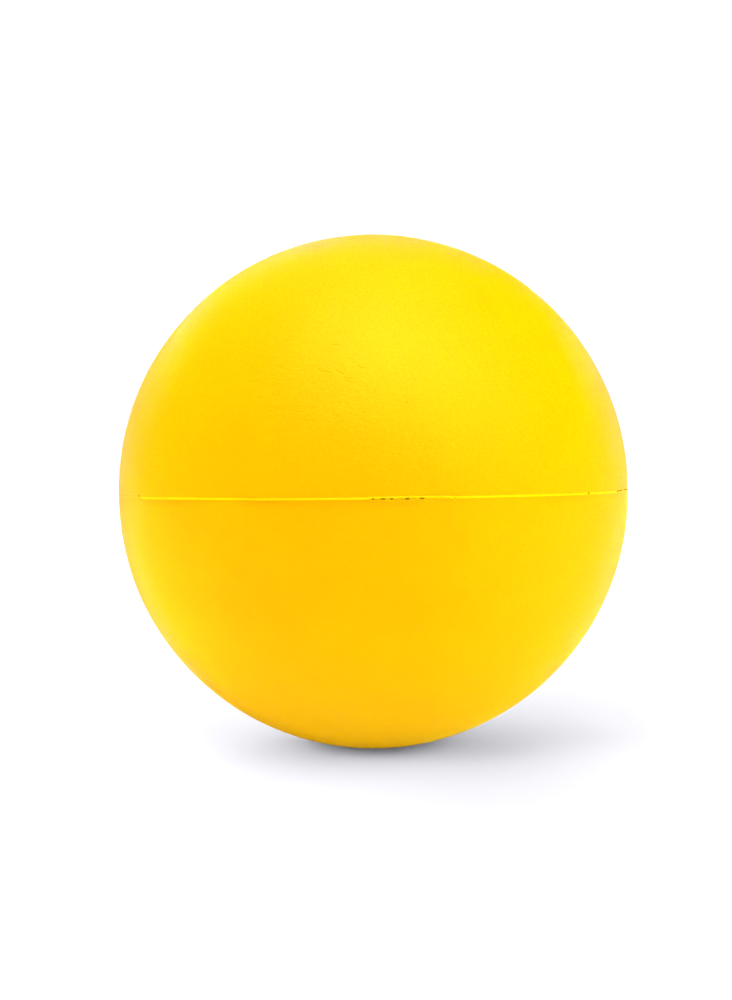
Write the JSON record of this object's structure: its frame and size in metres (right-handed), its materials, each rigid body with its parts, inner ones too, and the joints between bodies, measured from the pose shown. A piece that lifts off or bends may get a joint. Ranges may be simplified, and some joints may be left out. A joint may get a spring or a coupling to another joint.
{
  "type": "stress ball",
  "caption": "Soft round squeeze ball of skinned polyurethane foam, with a raised moulding seam around its middle, pressed flat between palm and fingers.",
  "frame": {"origin": "the ball's centre, in the plane of the moulding seam", "axes": "+Z along the mould's opening axis, through the middle of the upper half; X and Y lie in the plane of the seam, with -Y towards the stretch of seam that is pitted from trimming"},
  "size_m": [0.0634, 0.0634, 0.0636],
  "materials": {
    "skin": "satin",
    "flash": "satin",
    "foam": "matte"
  },
  "bodies": {
    "lower_half": {"lower_skin": "skin", "foam_core": "foam"},
    "waist": {"seam_flash": "flash"},
    "upper_half": {"upper_skin": "skin"}
  },
  "joints": [
    {"name": "squeeze", "type": "slide", "parent": "lower_half", "child": "upper_half", "axis": [0, 0, 1], "range_m": [-0.025, 0], "stiffness_N_per_m": 3000, "deforming": ["upper_skin", "lower_skin", "foam_core"]},
    {"name": "waist_follow", "type": "slide", "parent": "lower_half", "child": "waist", "axis": [0, 0, 1], "range_m": [-0.0125, 0], "deforming": ["seam_flash"]}
  ],
  "couplings": [
    {"joint": "waist_follow", "follows": "squeeze", "ratio": 0.5}
  ]
}
